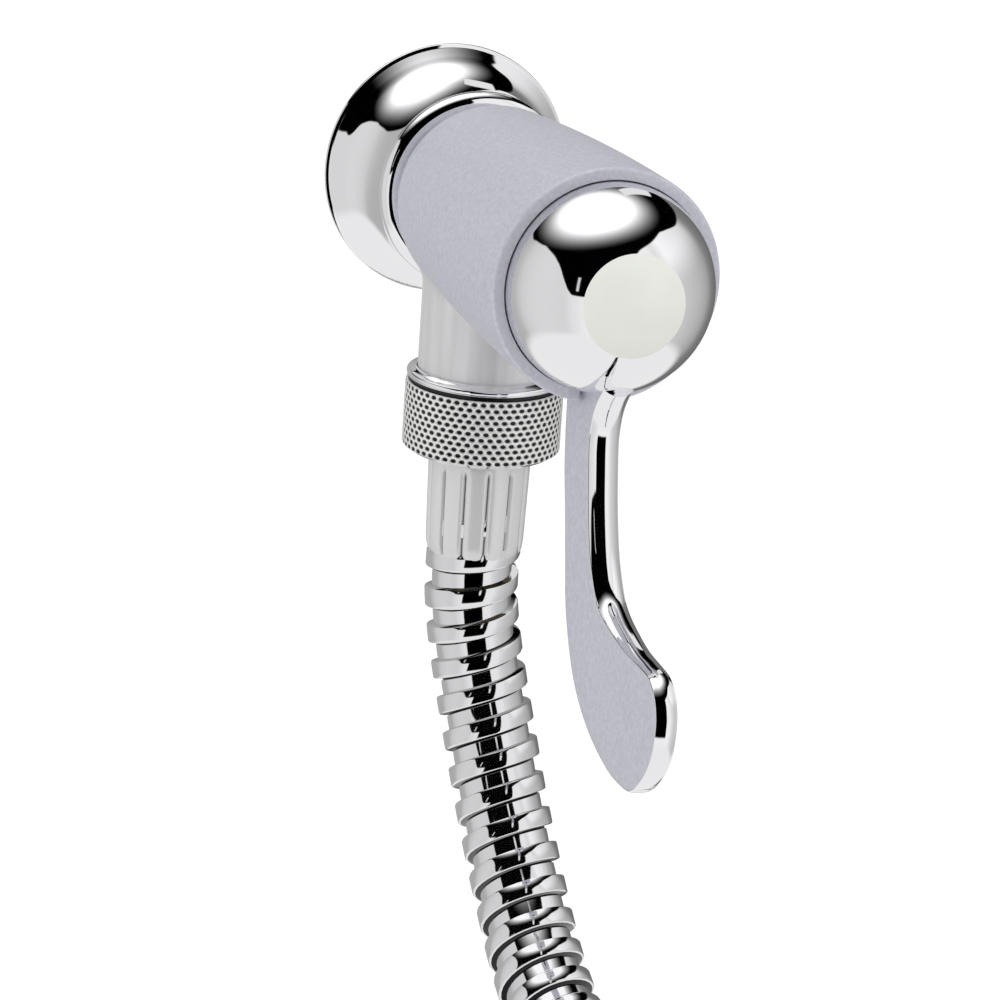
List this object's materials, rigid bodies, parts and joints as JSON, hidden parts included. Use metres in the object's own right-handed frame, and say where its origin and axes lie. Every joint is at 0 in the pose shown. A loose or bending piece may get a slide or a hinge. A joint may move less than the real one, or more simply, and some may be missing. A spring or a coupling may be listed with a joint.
{
  "type": "handheld bath sprayer",
  "caption": "Handheld bath sprayer with a flared spray bell, a sprung squeeze lever on a domed hub, a knurled union nut and a flexible metal hose.",
  "frame": {"origin": "where the neck axis crosses the barrel axis, at the hand grip", "axes": "+Y along the barrel towards the spray bell, +Z along the neck away from the hose, +X to the side"},
  "size_m": [0.207, 0.247, 0.1688],
  "materials": {
    "satin_metal": "satin",
    "polished_metal": "mirror",
    "hose_metal": "polished",
    "plate_steel": "brushed",
    "steel": "bright",
    "brass": "machined",
    "rubber": "matt",
    "strap": "matt"
  },
  "bodies": {
    "head": {"body_casting": "satin_metal", "spray_bell": "polished_metal", "bell_gasket": "rubber", "spray_plate": "plate_steel", "plate_screw": "polished_metal", "diffuser": "brass", "valve_seat": "brass", "return_spring": "steel", "gland_bush": "brass", "gland_seal": "rubber", "spindle_seals": "rubber", "pivot_bracket": "brass", "bracket_screw": "steel", "trunnion_screws": "steel", "hose_washer": "rubber", "inlet_filter": "steel", "hose_tail": "brass", "hose_ferrule": "polished_metal", "hose_stretch": "hose_metal", "hose_coil": "hose_metal", "coil_tie": "strap", "supply_ferrule": "polished_metal", "supply_tail": "brass", "supply_washer": "rubber"},
    "lever": {"dome_lever": "polished_metal"},
    "valve": {"spindle": "steel", "spindle_button": "brass", "disc_holder": "brass", "valve_disc": "rubber", "disc_nut": "brass"},
    "hose_nut": {"hose_nut": "polished_metal"},
    "supply_nut": {"supply_nut": "polished_metal"}
  },
  "joints": [
    {"name": "lever_press", "type": "hinge", "parent": "head", "child": "lever", "pos_m": [0, -0.0487, 0], "axis": [1, 0, 0], "range_deg": [0, 14], "stiffness_Nm_per_rad": 0.8, "springref_deg": -17.19},
    {"name": "valve_slide", "type": "slide", "parent": "head", "child": "valve", "axis": [0, 1, 0], "range_m": [-0.002, 0], "deforming": ["return_spring"]},
    {"name": "hose_nut_turn", "type": "hinge", "parent": "head", "child": "hose_nut", "pos_m": [0, 0, -0.032], "axis": [0, 0, 1], "continuous": true},
    {"name": "supply_nut_turn", "type": "hinge", "parent": "head", "child": "supply_nut", "pos_m": [-0.0208, -0.19885, -0.13677], "axis": [0, -1, 0], "continuous": true}
  ],
  "couplings": [
    {"joint": "valve_slide", "follows": "lever_press", "m_per_rad": -0.008}
  ]
}
